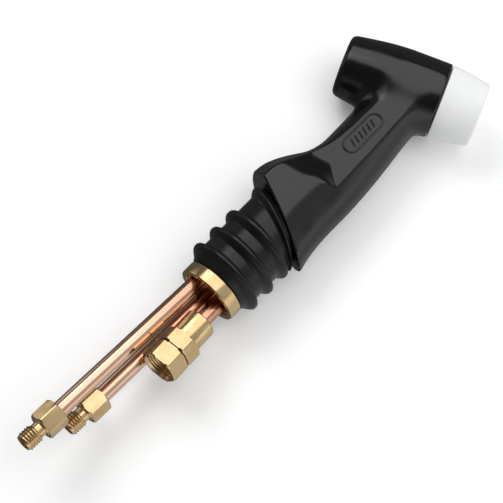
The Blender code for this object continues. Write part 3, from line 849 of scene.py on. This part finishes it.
def hex_reach(across, turn, limit):
    """Radius of a hexagon at an angle, with its corners taken off at the limit radius."""
    def reach(angle):
        wrap = (angle - turn + math.pi / 6.0) % (math.pi / 3.0) - math.pi / 6.0
        return min(across / 2.0 / math.cos(wrap), limit)
    return reach


def hex_angles(across, turn, corner):
    """Angles for a hexagon: close together where the flats meet the turned-off corners."""
    edge = math.degrees(math.acos(across / 2.0 / corner))
    steps = (-edge, 1.2 - edge, -18.0, -9.0, 0.0, 9.0, 18.0, edge - 1.2, edge, 30.0)
    return [turn + math.radians(60.0 * k + step) for k in range(6) for step in steps]


def hex_shell(name, across, turn, low, high, bore, place):
    """A chamfered hexagon round a bored profile; bore is (height, radius) rows from high back to low."""
    corner = across / 2.0 / math.cos(math.pi / 6.0) * CORNER_SHARE
    face = corner - CHAMFER_REACH
    depth = bpy.context.scene.torch_sizes.hex_chamfer / MM
    shares = (0.0, 0.12, 0.3, 0.5, 0.75, 1.0)
    limits = [hex_reach(across, turn, face + (corner - face) * share) for share in shares]
    rows = [(low + depth * share, limit) for share, limit in zip(shares, limits)]
    rows += [(high - depth * share, limit) for share, limit in zip(shares[::-1], limits[::-1])]
    return spun(name, rows + list(bore), place, angles=hex_angles(across, turn, corner), sharp=24.0)


def threaded_nose(name, place, turn):
    """A male fitting: chamfered hexagon brazed on its tube, relief neck and coned threaded nose."""
    pitch = bpy.context.scene.torch_sizes.nose_pitch / MM
    brass = finish_of("brass")
    shell = hex_shell(name + "_hex", NOSE_HEX, turn, NOSE_HEX_REAR, NOSE_HEX_FRONT,
                      [(NOSE_HEX_FRONT, NOSE_TUBE_R), (NOSE_HEX_REAR, NOSE_TUBE_R)], place)
    nose = rounded([(-4.0, NOSE_BORE_R), (-4.0, 4.3), (-5.5, 4.1), (-5.5, NOSE_NECK_R),
                    (-7.9, NOSE_NECK_R), (-8.4, NOSE_R), (NOSE_THREAD_REAR, NOSE_R), (NOSE_REAR, 3.0),
                    (NOSE_REAR, NOSE_BORE_R)], 0.16, 4)
    stem = spun(name + "_stem", nose, place, 72, sharp=30.0)
    thread = wound_thread(name + "_thread", place, 3.32, NOSE_THREAD / pitch, NOSE_THREAD, 0.56,
                          NOSE_THREAD_REAR, brass)
    return merged(name, shell, stem, thread)


# ---------------------------------------------------------------- settings

class TorchSizes(bpy.types.PropertyGroup):
    """Sizes of the detail that the frame leaves open."""
    cell: bpy.props.FloatProperty(
        name="Moulding Cell", description="Spacing of the moulding's skin points", default=0.00055,
        min=0.0003, max=0.002, unit="LENGTH", precision=5)
    rib_height: bpy.props.FloatProperty(
        name="Rib Height", description="Height of the boot's ribs over its root", default=0.0024,
        unit="LENGTH", precision=5)
    rib_pitch: bpy.props.FloatProperty(
        name="Rib Pitch", description="Distance between the boot's ribs", default=0.009,
        unit="LENGTH", precision=5)
    hex_chamfer: bpy.props.FloatProperty(
        name="Hexagon Chamfer", description="Depth of the turned chamfer at a hexagon's end faces",
        default=0.0005, unit="LENGTH", precision=5)
    nose_pitch: bpy.props.FloatProperty(
        name="Nose Thread Pitch", description="Thread pitch of the gas and water noses", default=0.00115,
        unit="LENGTH", precision=5)
    nut_pitch: bpy.props.FloatProperty(
        name="Nut Thread Pitch", description="Thread pitch inside the union nut", default=0.0010,
        unit="LENGTH", precision=5)
    tube_radius: bpy.props.FloatProperty(
        name="Tube Radius", description="Outside radius of the copper tubes", default=0.00325,
        unit="LENGTH", precision=5)
    tube_wall: bpy.props.FloatProperty(
        name="Tube Wall", description="Wall thickness of the copper tubes", default=0.0008,
        unit="LENGTH", precision=5)
    badge_bars: bpy.props.IntProperty(
        name="Badge Bars", description="Number of slanted bars in the raised outline", default=6,
        min=1, max=12)


class TorchColours(bpy.types.PropertyGroup):
    """Base colours of the finishes, linear."""
    moulding: bpy.props.FloatVectorProperty(
        name="Moulding", description="Phenolic handle and head", size=4, subtype="COLOR",
        default=colour(0x0E0C0C), min=0.0, max=1.0)
    boot: bpy.props.FloatVectorProperty(
        name="Boot", description="Ribbed neoprene boot", size=4, subtype="COLOR",
        default=colour(0x141212), min=0.0, max=1.0)
    brass: bpy.props.FloatVectorProperty(
        name="Brass", description="Turned fittings and tail ring", size=4, subtype="COLOR",
        default=colour(0xE4C898), min=0.0, max=1.0)
    copper: bpy.props.FloatVectorProperty(
        name="Copper", description="Drawn tubes", size=4, subtype="COLOR",
        default=colour(0xECC2A8), min=0.0, max=1.0)
    gasket: bpy.props.FloatVectorProperty(
        name="Gasket", description="White cup gasket", size=4, subtype="COLOR",
        default=colour(0xF6F8F7), min=0.0, max=1.0)


# ---------------------------------------------------------------- operators

class TORCH_OT_stage(bpy.types.Operator):
    """Pale floor, soft studio lights and the camera."""
    bl_idname = "torch.stage"
    bl_label = "Stage"

    def execute(self, context):
        make_floor()
        make_world(context.scene)
        # direction, distance, width, height and brightness
        softbox("overhead", (0.38, 0.22, 0.90), 1.30, 1.15, 1.9, 1.45)
        key = softbox("key", (0.05, 0.62, 0.78), 1.40, 0.8, 0.6, 3.0)
        key.visible_glossy = False
        softbox("key_glow", (0.05, 0.62, 0.78), 1.38, 0.8, 0.6, 0.9)
        softbox("fill", (0.26, -0.62, 0.74), 1.50, 0.9, 0.9, 0.42)
        softbox("tail_card", (-0.08, 1.0, 0.10), 0.60, 0.3, 0.3, 0.55)
        wash = softbox("wash", (0.10, -0.35, 0.92), 1.60, 1.4, 1.4, 1.05)
        wash.visible_glossy = False
        make_camera(context.scene)
        return {"FINISHED"}


def make_world(scene):
    """A dim studio that brightens low on the -Y side, for the gloss to pick up."""
    studio = bpy.data.worlds.new("studio")
    studio.use_nodes = True
    tree = studio.node_tree
    back = tree.nodes["Background"]
    back.inputs["Color"].default_value = (1.0, 1.0, 1.0, 1.0)
    where = node(tree, "ShaderNodeTexCoord")
    axes = node(tree, "ShaderNodeSeparateXYZ", links={"Vector": (where, "Generated")})
    low = node(tree, "ShaderNodeMapRange",
               {"From Min": 0.26, "From Max": 0.56, "To Min": 1.0, "To Max": 0.0},
               {"Value": (axes, "Z")})
    side = node(tree, "ShaderNodeMapRange",
                {"From Min": 0.10, "From Max": -0.60, "To Min": 0.08, "To Max": 0.95},
                {"Value": (axes, "Y")})
    under = node(tree, "ShaderNodeMapRange",
                 {"From Min": -0.25, "From Max": 0.15, "To Min": 0.55, "To Max": 1.0},
                 {"Value": (axes, "Z")})
    lit = node(tree, "ShaderNodeMath", {"operation": "MULTIPLY"}, {0: (low, "Result"), 1: (under, "Result")})
    card = node(tree, "ShaderNodeMath", {"operation": "MULTIPLY"}, {0: (lit, "Value"), 1: (side, "Result")})
    level = node(tree, "ShaderNodeMath", {"operation": "ADD", 1: 0.06}, {0: (card, "Value")})
    tree.links.new(level.outputs["Value"], back.inputs["Strength"])
    scene.world = studio


def make_floor():
    """A wide matt sheet just under the torch."""
    mesh = bpy.data.meshes.new("studio_floor")
    size = 3.0
    mesh.from_pydata([(-size, -size, 0.0), (size, -size, 0.0), (size, size, 0.0), (-size, size, 0.0)], [],
                     [(0, 1, 2, 3)])
    floor = linked("studio_floor", mesh)
    # matt white card: dry and even, its fibre only clouds about 0.3 m across
    made, tree, shader, where = shader_material("matt_white_card", colour(0xF8F8F8), 0.9)
    shader.inputs["Emission Color"].default_value = (1.0, 1.0, 1.0, 1.0)
    shader.inputs["Emission Strength"].default_value = 0.18
    fibre = node(tree, "ShaderNodeTexNoise", {"Scale": 3.0, "Detail": 1.0}, {"Vector": (where, "Object")})
    tint = node(tree, "ShaderNodeValToRGB", {"Stops": ((0.3, colour(0xF6F6F6)), (0.7, colour(0xF9F9F9)))},
                {"Fac": (fibre, "Fac")})
    tree.links.new(tint.outputs["Color"], shader.inputs["Base Color"])
    mesh.materials.append(made)
    floor.visible_glossy = False


def softbox(name, direction, distance, width, height, brightness):
    """A rectangular light of a given surface brightness, aimed at the middle of the torch."""
    lamp = bpy.data.lights.new(name, "AREA")
    lamp.shape = "RECTANGLE"
    lamp.size = width
    lamp.size_y = height
    lamp.energy = brightness * math.pi * width * height
    item = linked(name, lamp)
    away = Vector(direction).normalized()
    across = Vector((1.0, 0.0, 0.0)).cross(away).normalized()
    turn = Matrix((across.cross(away), across, away)).transposed()
    item.matrix_world = Matrix.Translation(away * distance) @ turn.to_4x4()
    return item


def make_camera(scene):
    """Looks down on the torch from over its tail, rolled so that the handle rises to the right."""
    place = world(-150.52, -104.33, 565.58)
    look = world(25.31, -0.39, 0.0)
    back = (place - look).normalized()
    right = Vector((0.6725, -0.7364, 0.0738))
    up = back.cross(right).normalized()
    right = up.cross(back)
    lens = bpy.data.cameras.new("camera")
    lens.lens = 110.8
    lens.sensor_width = 36.0
    lens.clip_start = 0.01
    lens.clip_end = 20.0
    item = linked("camera", lens)
    turn = Matrix((right, up, back)).transposed().to_4x4()
    item.matrix_world = Matrix.Translation(place) @ turn
    scene.camera = item


class TORCH_OT_moulding(bpy.types.Operator):
    """Black handle, neck and head in one moulding, with its raised badge."""
    bl_idname = "torch.moulding"
    bl_label = "Moulding"

    def execute(self, context):
        sizes = context.scene.torch_sizes
        points, faces = skin_of(with_bores, SKIN_LOW, SKIN_HIGH, sizes.cell / MM)
        body = mesh_object("body_shell", points.tolist(), faces.tolist(), None, 42.0)
        finish_piece(body, "torch", "moulded_black", "body_moulding")
        outline = []
        for k in range(17):
            angle = -math.pi / 2.0 + math.pi * k / 16.0
            outline.append((BADGE_HALF_LENGTH + BADGE_HALF_WIDTH * math.cos(angle),
                            BADGE_HALF_WIDTH * math.sin(angle), 0.0))
        outline += [(-x, -y, z) for x, y, z in outline]
        badge = run_tree(poly_curve("raised_badge", outline, True), badge_tree(), {
            "Bars": sizes.badge_bars, "Bar Spacing": 2.35, "Bar Length": 3.3, "Bar Slant": -0.35,
            "Width": 0.42, "Material": finish_of("moulded_black")})
        place = Matrix.Translation(world(BADGE_X, BADGE_Y, FACET_Z + 0.02))
        badge.data.transform(place @ Matrix.Scale(MM, 4))
        tidy_normals(badge, 50.0)
        finish_piece(badge, "torch", "moulded_black")
        return {"FINISHED"}


class TORCH_OT_boot(bpy.types.Operator):
    """Ribbed rubber boot between the tail ring and the shoulder."""
    bl_idname = "torch.boot"
    bl_label = "Boot"

    def execute(self, context):
        sizes = context.scene.torch_sizes
        front = SHOULDER_X - 0.3
        rows = [(BOOT_REAR, BOOT_BORE_R), (BOOT_REAR, 12.2), (5.85, 12.55), (BOOT_FLARE, 12.7)]
        steps = 150
        for k in range(1, steps + 1):
            x = BOOT_FLARE + (front - 0.4 - BOOT_FLARE) * k / steps
            bead = 1.95 * math.exp(-abs((x - BEAD_X) / 1.15) ** 2.6)
            rows.append((x, BOOT_R - 1.7 * max(0.0, 1.0 - (x - BOOT_FLARE) / 3.4) ** 2 + bead))
        rows += [(front - 0.1, 14.25), (front, 13.9), (front, BOOT_SOCKET_R),
                 (BOOT_FRONT, BOOT_SOCKET_R), (BOOT_FRONT, BOOT_BORE_R)]
        # the rings lean more and more toward the shoulder, as far as its slant
        leans = (0.0, 0.035, 0.045, 0.06, SLANT, SLANT, 0.0, 0.0)
        spots = (BOOT_REAR, FIRST_RIB, 19.9, 28.9, 37.9, front, 50.0, BOOT_FRONT)
        sides = 144
        points, lean, share = [], [], []
        for x, radius in rows:
            slope = float(np.interp(x, spots, leans))
            outside = 0.0 if radius <= BOOT_SOCKET_R + 0.01 or x >= front - 0.2 else 1.0
            for i in range(sides):
                angle = math.tau * i / sides
                points.append((radius * math.cos(angle), radius * math.sin(angle), x))
                lean.append(slope)
                share.append(outside if x < LAST_RIB_END else 0.0)
        mesh = bpy.data.meshes.new("boot")
        mesh.from_pydata(points, [], quad_rows(len(rows), sides))
        mesh.attributes.new("lean", "FLOAT", "POINT").data.foreach_set("value", lean)
        mesh.attributes.new("share", "FLOAT", "POINT").data.foreach_set("value", share)
        boot = run_tree(linked("boot", mesh), sleeve_tree(), {
            "First Rib": FIRST_RIB, "Pitch": sizes.rib_pitch / MM, "Height": sizes.rib_height / MM,
            "Material": finish_of("black_rubber")})
        # local X of the handle's matrix runs to the +Y side, local Z along the handle
        boot.data.transform(HANDLE_PLACE)
        tidy_normals(boot, 50.0)
        finish_piece(boot, "torch", "black_rubber", "ribbed_boot")
        return {"FINISHED"}


class TORCH_OT_tail(bpy.types.Operator):
    """Brass tail ring round the tubes."""
    bl_idname = "torch.tail"
    bl_label = "Tail Ring"

    def execute(self, context):
        outline = rounded([(0.0, RING_BORE_R), (0.0, RING_R), (RING_LENGTH, RING_R),
                           (RING_LENGTH, RING_BORE_R)], 0.5, 6)
        ring = spun("tail_collar", outline, HANDLE_PLACE, 128)
        finish_piece(ring, "torch", "brass", "tail_ring")
        return {"FINISHED"}


def tube_path(rear, plate, neck, steps=24):
    """Straight from the rear end through the plate, then eased sideways into the neck and straight on."""
    points = [tuple(a + (b - a) * k / 12.0 for a, b in zip(rear, plate)) for k in range(12)]
    points.append(plate)
    points.append((7.0, plate[1], plate[2]))
    for k in range(steps + 1):
        share = k / steps
        ease = share * share * (3.0 - 2.0 * share)
        points.append((14.0 + 48.0 * share, plate[1] + (neck[0] - plate[1]) * ease,
                       plate[2] + (neck[1] - plate[2]) * ease))
    points.append((TUBE_FRONT, *neck))
    return points


class TORCH_OT_tubes(bpy.types.Operator):
    """Three drawn copper tubes from their fittings to the head."""
    bl_idname = "torch.tubes"
    bl_label = "Tubes"

    def execute(self, context):
        sizes = context.scene.torch_sizes
        tree = tube_tree()
        for name, ends in TUBE_PATHS.items():
            item = poly_curve("copper_" + name, [world(*place) for place in tube_path(*ends)])
            item = run_tree(item, tree, {"Radius": sizes.tube_radius, "Sides": 56, "Spacing": 0.0015,
                                         "Material": finish_of("copper")})
            tidy_normals(item)
            wall = item.modifiers.new("Wall", "SOLIDIFY")
            wall.thickness = sizes.tube_wall
            wall.offset = -1.0
            bake(item)
            tidy_shading(item)
            finish_piece(item, "torch", "copper", name)
        return {"FINISHED"}


class TORCH_OT_noses(bpy.types.Operator):
    """Gas and water inlet fittings with their threaded noses."""
    bl_idname = "torch.noses"
    bl_label = "Gas and Water Noses"

    def execute(self, context):
        for name, node_name, place, turn in (
                ("gas_nose", "gas_fitting", GAS_PLACE, GAS_TURN),
                ("water_nose", "water_in_fitting", WATER_PLACE, WATER_TURN)):
            item = threaded_nose(name, place, turn)
            finish_piece(item, "torch", "brass", node_name)
        return {"FINISHED"}


class TORCH_OT_power_adaptor(bpy.types.Operator):
    """Power and water-out adaptor: sleeve, fixed hexagon and the spigot that holds the union nut."""
    bl_idname = "torch.power_adaptor"
    bl_label = "Power Adaptor"

    def execute(self, context):
        hexagon = hex_shell("adaptor_hex", POWER_HEX, POWER_TURN, ADAPTOR_HEX_REAR, ADAPTOR_HEX_FRONT,
                            [(ADAPTOR_HEX_FRONT, ADAPTOR_BORE_R), (ADAPTOR_HEX_REAR, ADAPTOR_BORE_R)],
                            POWER_PLACE)
        sleeve = spun("adaptor_sleeve", [
            (SLEEVE_FRONT, SLEEVE_BORE_R), (SLEEVE_FRONT, 5.6), (-9.65, 5.9), (-10.0, SLEEVE_R),
            (-19.2, SLEEVE_R), (-19.5, 6.15), (SLEEVE_REAR, 6.1), (SLEEVE_REAR, SLEEVE_BORE_R)],
            POWER_PLACE, 144, sharp=40.0)
        spigot = spun("adaptor_spigot", rounded([
            (SPIGOT_FRONT, SPIGOT_BORE_R), (SPIGOT_FRONT, SPIGOT_R), (-30.2, SPIGOT_R),
            (SPIGOT_REAR, 3.3), (SPIGOT_REAR, SPIGOT_BORE_R)], 0.2, 4), POWER_PLACE, 72)
        adaptor = merged("power_adaptor_brass", hexagon, sleeve, spigot)
        finish_piece(adaptor, "torch", "brass", "power_adaptor")
        return {"FINISHED"}


class TORCH_OT_union_nut(bpy.types.Operator):
    """Free union nut on the power adaptor, threaded inside."""
    bl_idname = "torch.union_nut"
    bl_label = "Union Nut"

    def execute(self, context):
        pitch = context.scene.torch_sizes.nut_pitch / MM
        bore = [(NUT_FRONT, 4.75), (-27.0, NUT_HOLE_R), (-28.3, NUT_HOLE_R), (-28.4, 4.7),
                (-28.4, NUT_BORE_R), (-34.1, NUT_BORE_R), (NUT_REAR, 6.55)]
        shell = hex_shell("nut_shell", POWER_HEX, POWER_TURN, NUT_REAR, NUT_FRONT, bore, POWER_PLACE)
        thread = wound_thread("nut_thread", POWER_PLACE, 5.98, NUT_THREAD / pitch, NUT_THREAD, 0.48,
                              NUT_THREAD_REAR, finish_of("brass"))
        nut = merged("union_nut_brass", shell, thread)
        finish_piece(nut, "nut", "brass", "union_nut")
        return {"FINISHED"}


class TORCH_OT_head_core(bpy.types.Operator):
    """Brass core of the head, bored through and threaded for a collet body and a back cap."""
    bl_idname = "torch.head_core"
    bl_label = "Head Core"

    def execute(self, context):
        core = spun("head_core_brass", rounded([
            (CORE_FRONT, CORE_BORE_R + 0.7), (CORE_FRONT, CORE_R), (CORE_REAR, CORE_R),
            (CORE_REAR, CORE_BORE_R + 0.8), (CORE_REAR + 1.0, CORE_BORE_R + 0.25),
            (CORE_FRONT - 1.0, CORE_BORE_R + 0.25)], 0.2, 4), HEAD_PLACE, 96)
        front = wound_thread("core_front_thread", HEAD_PLACE, CORE_BORE_R + 0.38, 8.0, 8.0, 0.42,
                             CORE_FRONT - 9.4, finish_of("brass"))
        rear = wound_thread("core_rear_thread", HEAD_PLACE, CORE_BORE_R + 0.38, 8.0, 8.0, 0.42,
                            CORE_REAR + 1.4, finish_of("brass"))
        item = merged("core_brass", core, front, rear)
        finish_piece(item, "torch", "brass", "head_core")
        return {"FINISHED"}


class TORCH_OT_gasket(bpy.types.Operator):
    """Crowned white cup gasket on the front of the head."""
    bl_idname = "torch.gasket"
    bl_label = "Cup Gasket"

    def execute(self, context):
        rear = HEAD_FRONT + 0.3
        front = GASKET_FRONT
        rows = [(rear, GASKET_BORE_R), (rear, 15.1), (rear + 0.1, 15.35)]
        for k in range(1, 25):
            share = k / 24.0
            rows.append((rear + 0.35 + (front - rear - 1.25) * share, 15.5 - 2.15 * share ** 1.7))
        rows += [(front - 0.55, 13.2), (front - 0.22, 12.9), (front - 0.04, 12.5), (front, 12.1),
                 (front, 10.5), (front - 0.1, 10.15), (front - 0.4, GASKET_CUP_R),
                 (GASKET_CUP_FLOOR, GASKET_CUP_R), (GASKET_CUP_FLOOR, GASKET_BORE_R)]
        item = spun("cup_gasket_white", rows, HEAD_PLACE, 144, sharp=40.0)
        finish_piece(item, "gasket", "white_ptfe", "cup_gasket")
        return {"FINISHED"}


class TORCH_OT_inner_pieces(bpy.types.Operator):
    """Finishes for the pieces inside that keep their plain shapes."""
    bl_idname = "torch.inner_pieces"
    bl_label = "Inner Pieces"

    def execute(self, context):
        slots = {
            "tube_plate": "copper", "rear_tube_spacer": "natural_nylon", "front_tube_spacer": "natural_nylon",
            "nut_retainer": "brass", "water_jacket": "copper", "jacket_rear_ring": "brass",
            "jacket_front_ring": "brass", "rear_seal": "red_silicone", "front_insulator": "natural_nylon",
            "tube_manifold": "brass"}
        for name, slot in slots.items():
            for place in frame["nodes"][name].material_slots:
                place.material = finish_of(slot)
        return {"FINISHED"}


class TORCH_PT_panel(bpy.types.Panel):
    """Lists the torch's pieces, sizes and colours."""
    bl_label = "TIG Torch Body"
    bl_idname = "TORCH_PT_panel"
    bl_space_type = "VIEW_3D"
    bl_region_type = "UI"
    bl_category = "Torch"

    def draw(self, context):
        column = self.layout.column(align=True)
        for step in STEPS:
            column.operator(step.bl_idname)
        for group in (context.scene.torch_sizes, context.scene.torch_colours):
            box = self.layout.box()
            for name in group.__annotations__:
                box.prop(group, name)


STEPS = (TORCH_OT_stage, TORCH_OT_moulding, TORCH_OT_boot, TORCH_OT_tail, TORCH_OT_tubes, TORCH_OT_noses,
         TORCH_OT_power_adaptor, TORCH_OT_union_nut, TORCH_OT_head_core, TORCH_OT_gasket,
         TORCH_OT_inner_pieces)
CLASSES = (TorchSizes, TorchColours, *STEPS, TORCH_PT_panel)


def register():
    for item in CLASSES:
        bpy.utils.register_class(item)
    bpy.types.Scene.torch_sizes = bpy.props.PointerProperty(type=TorchSizes)
    bpy.types.Scene.torch_colours = bpy.props.PointerProperty(type=TorchColours)


def unregister():
    del bpy.types.Scene.torch_colours
    del bpy.types.Scene.torch_sizes
    for item in reversed(CLASSES):
        bpy.utils.unregister_class(item)


def main():
    register()
    bpy.context.scene.view_settings.view_transform = "Standard"
    bpy.ops.torch.stage()
    bpy.ops.torch.moulding()
    bpy.ops.torch.boot()
    bpy.ops.torch.tail()
    bpy.ops.torch.tubes()
    bpy.ops.torch.noses()
    bpy.ops.torch.power_adaptor()
    bpy.ops.torch.union_nut()
    bpy.ops.torch.head_core()
    bpy.ops.torch.gasket()
    bpy.ops.torch.inner_pieces()


if __name__ == "__main__":
    main()
